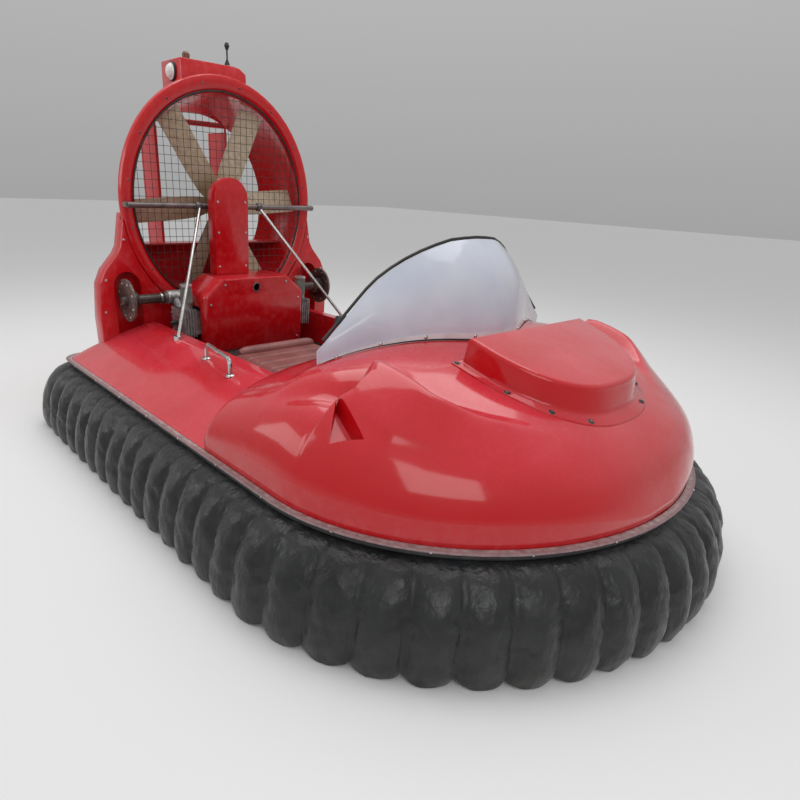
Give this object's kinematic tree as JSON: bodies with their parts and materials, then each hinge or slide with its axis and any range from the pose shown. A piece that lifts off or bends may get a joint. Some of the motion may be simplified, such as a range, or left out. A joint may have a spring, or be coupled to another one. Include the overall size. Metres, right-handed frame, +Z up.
{
  "type": "small single-fan hovercraft",
  "caption": "Small open recreational hovercraft with a red fibreglass hull, ducted fan and rudders at the stern, curved windscreen and black finger skirt.",
  "frame": {"origin": "on the ground under the middle of the craft's box", "axes": "+X forward to the bow, +Y to port, +Z up"},
  "size_m": [3.1355, 2.148, 1.7485],
  "materials": {
    "red_gelcoat": "glossy red gelcoat over fibreglass",
    "hull_black": "black underside",
    "rail_trim": "dull pinkish grey rub rail",
    "skirt_fabric": "black coated nylon",
    "skid_plastic": "black polyethylene runner",
    "screen_sheet": "milky blue-white polycarbonate",
    "black_rubber": "black edge strip",
    "seat_vinyl": "faded red-brown vinyl",
    "black_metal": "black paint",
    "bright_steel": "brushed stainless steel",
    "engine_alloy": "cast alloy, dark",
    "exhaust_metal": "heat-proof black",
    "guard_wire": "black coated wire",
    "lamp_lens": "white domed lens",
    "tan_plastic": "tan moulded plastic"
  },
  "bodies": {
    "hull": {"hull_bottom": "hull_black", "main_deck": "red_gelcoat", "fore_cowl": "red_gelcoat", "nose_hatch": "red_gelcoat", "gunwale_rail": "rail_trim", "skirt_stern": "skirt_fabric", "skirt_left": "skirt_fabric", "skirt_right": "skirt_fabric", "skirt_bow_left": "skirt_fabric", "skirt_bow_right": "skirt_fabric", "skid_left": "skid_plastic", "skid_centre": "skid_plastic", "skid_right": "skid_plastic", "windscreen": "screen_sheet", "windscreen_trim": "black_rubber", "seat_base": "red_gelcoat", "seat_cushion": "seat_vinyl", "steering_column": "black_metal", "grab_handle_left": "bright_steel", "grab_handle_right": "bright_steel", "engine_block": "engine_alloy", "engine_cover": "red_gelcoat", "exhaust_pipe": "exhaust_metal", "muffler": "exhaust_metal", "exhaust_pipe_left": "exhaust_metal", "muffler_left": "exhaust_metal", "air_splitter": "red_gelcoat", "belt_guard": "red_gelcoat", "duct": "red_gelcoat", "pedestal_left": "red_gelcoat", "pedestal_right": "red_gelcoat", "cross_bar": "bright_steel", "stay_left": "bright_steel", "stay_right": "bright_steel", "fan_guard": "guard_wire", "tail_box": "red_gelcoat", "rudder_bar_top": "red_gelcoat", "rudder_bar_bottom": "red_gelcoat", "lamp": "lamp_lens", "knob": "tan_plastic", "aerial_post": "black_rubber"},
    "fan_wheel": {"fan": "tan_plastic"},
    "steering_bar": {"handlebar": "bright_steel"},
    "left_rudder": {"rudder_left": "red_gelcoat"},
    "right_rudder": {"rudder_right": "red_gelcoat"}
  },
  "joints": [
    {"name": "fan_spin", "type": "hinge", "parent": "hull", "child": "fan_wheel", "pos_m": [-1.1243, 0, 1.035], "axis": [1, 0, 0], "continuous": true},
    {"name": "steering", "type": "hinge", "parent": "hull", "child": "steering_bar", "pos_m": [0.3757, 0, 0.6], "axis": [-0.4572, 0, 0.8894], "range_deg": [-35, 35]},
    {"name": "rudder_turn_left", "type": "hinge", "parent": "hull", "child": "left_rudder", "pos_m": [-1.3848, 0.21, 1.035], "axis": [0, 0, 1], "range_deg": [-30, 30]},
    {"name": "rudder_turn_right", "type": "hinge", "parent": "hull", "child": "right_rudder", "pos_m": [-1.3848, -0.21, 1.035], "axis": [0, 0, 1], "range_deg": [-30, 30]}
  ],
  "couplings": [
    {"joint": "rudder_turn_left", "follows": "steering", "ratio": -0.857},
    {"joint": "rudder_turn_right", "follows": "steering", "ratio": -0.857}
  ]
}
